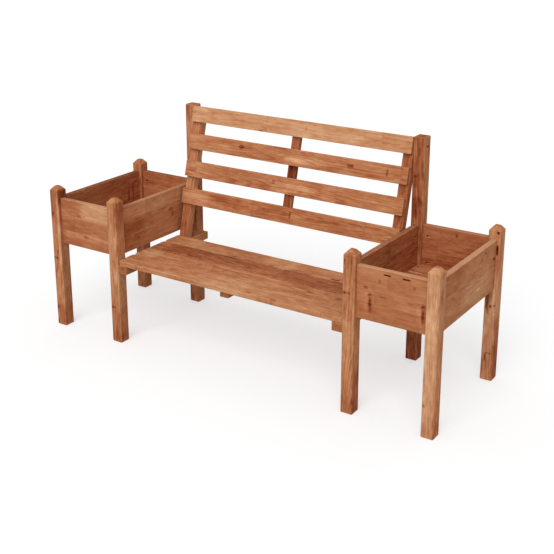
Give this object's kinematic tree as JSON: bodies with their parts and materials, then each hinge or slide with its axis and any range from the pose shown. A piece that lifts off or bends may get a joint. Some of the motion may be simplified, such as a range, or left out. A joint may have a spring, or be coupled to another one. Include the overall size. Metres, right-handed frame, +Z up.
{
  "type": "bench with planters",
  "caption": "Wooden garden bench with a slatted seat and leaning slatted back between two open planter boxes on square legs.",
  "frame": {"origin": "on the ground, under the middle of the bench", "axes": "+X to the bench's left-hand end for someone seated, the right in the front view; +Y from front to back; +Z up"},
  "size_m": [1.84, 0.59, 0.95],
  "materials": {
    "stained_wood": "satin stain",
    "plated_steel": "zinc plated"
  },
  "bodies": {
    "root": {"left_outer_front_leg": "stained_wood", "left_outer_back_leg": "stained_wood", "left_inner_front_leg": "stained_wood", "left_tall_back_leg": "stained_wood", "left_planter_front_board": "stained_wood", "left_planter_back_board": "stained_wood", "left_planter_outer_board": "stained_wood", "left_planter_inner_board": "stained_wood", "left_floor_bearer_inner": "stained_wood", "left_floor_bearer_outer": "stained_wood", "left_seat_rail": "stained_wood", "left_stile": "stained_wood", "left_floor_board_1": "stained_wood", "left_floor_board_2": "stained_wood", "left_floor_board_3": "stained_wood", "left_floor_board_4": "stained_wood", "left_floor_board_5": "stained_wood", "right_outer_front_leg": "stained_wood", "right_outer_back_leg": "stained_wood", "right_inner_front_leg": "stained_wood", "right_tall_back_leg": "stained_wood", "right_planter_front_board": "stained_wood", "right_planter_back_board": "stained_wood", "right_planter_outer_board": "stained_wood", "right_planter_inner_board": "stained_wood", "right_floor_bearer_inner": "stained_wood", "right_floor_bearer_outer": "stained_wood", "right_seat_rail": "stained_wood", "right_stile": "stained_wood", "right_floor_board_1": "stained_wood", "right_floor_board_2": "stained_wood", "right_floor_board_3": "stained_wood", "right_floor_board_4": "stained_wood", "right_floor_board_5": "stained_wood", "seat_centre_batten": "stained_wood", "centre_stile": "stained_wood", "seat_slat_1": "stained_wood", "seat_slat_2": "stained_wood", "seat_slat_3": "stained_wood", "seat_slat_4": "stained_wood", "back_slat_1": "stained_wood", "back_slat_2": "stained_wood", "back_slat_3": "stained_wood", "back_slat_4": "stained_wood", "left_board_screws": "plated_steel", "left_bearer_screws": "plated_steel", "left_floor_screws": "plated_steel", "right_board_screws": "plated_steel", "right_bearer_screws": "plated_steel", "right_floor_screws": "plated_steel", "seat_screws": "plated_steel", "rail_screws": "plated_steel", "back_screws": "plated_steel", "stile_foot_screws": "plated_steel", "stile_bolts": "plated_steel", "barrel_nuts": "plated_steel"}
  },
  "joints": []
}
